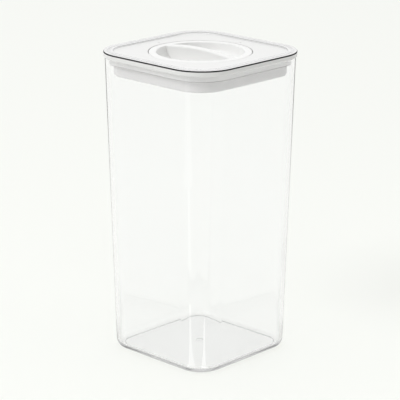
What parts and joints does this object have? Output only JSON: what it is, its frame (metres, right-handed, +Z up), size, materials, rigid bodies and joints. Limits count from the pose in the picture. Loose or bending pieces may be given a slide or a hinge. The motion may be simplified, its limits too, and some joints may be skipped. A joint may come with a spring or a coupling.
{
  "type": "storage canister",
  "caption": "Tall square clear food canister with rounded corners and a white lid, whose round dial with a grip bar turns to seal it.",
  "frame": {"origin": "centre of the underside of the canister, on the surface it stands on", "axes": "+Z up along the canister's axis, +Y along the grip bar of the dial at rest, X and Y across the square sides"},
  "size_m": [0.11, 0.11, 0.2173],
  "materials": {
    "clear_plastic": "clear, polished",
    "frame_plastic": "clear, polished",
    "lid_plastic": "white, satin",
    "dial_plastic": "white, satin",
    "inner_plastic": "white, matt",
    "plate_plastic": "white, satin",
    "washer_plastic": "natural, slippery",
    "silicone": "pale translucent, matt",
    "seal_rubber": "pale, matt",
    "screw_steel": "plain"
  },
  "bodies": {
    "canister": {"canister_body": "clear_plastic"},
    "lid": {"lid_body": "lid_plastic", "rim_frame": "frame_plastic", "gasket": "silicone"},
    "dial": {"dial": "dial_plastic", "cam_disc": "inner_plastic", "cam_screws": "screw_steel", "dial_seal": "seal_rubber", "thrust_washer": "washer_plastic"},
    "plate": {"pressure_plate": "plate_plastic", "hook_ring": "inner_plastic", "ring_screws": "screw_steel"}
  },
  "joints": [
    {"name": "lid_lift", "type": "slide", "parent": "canister", "child": "lid", "axis": [0, 0, 1], "range_m": [0, 0.08]},
    {"name": "dial_turn", "type": "hinge", "parent": "lid", "child": "dial", "pos_m": [0, 0, 0.2151], "axis": [0, 0, -1], "range_deg": [0, 90]},
    {"name": "plate_lift", "type": "slide", "parent": "lid", "child": "plate", "axis": [0, 0, 1], "range_m": [0, 0.0012], "deforming": ["gasket"]}
  ],
  "couplings": [
    {"joint": "plate_lift", "follows": "dial_turn", "m_per_rad": 0.00076394}
  ]
}
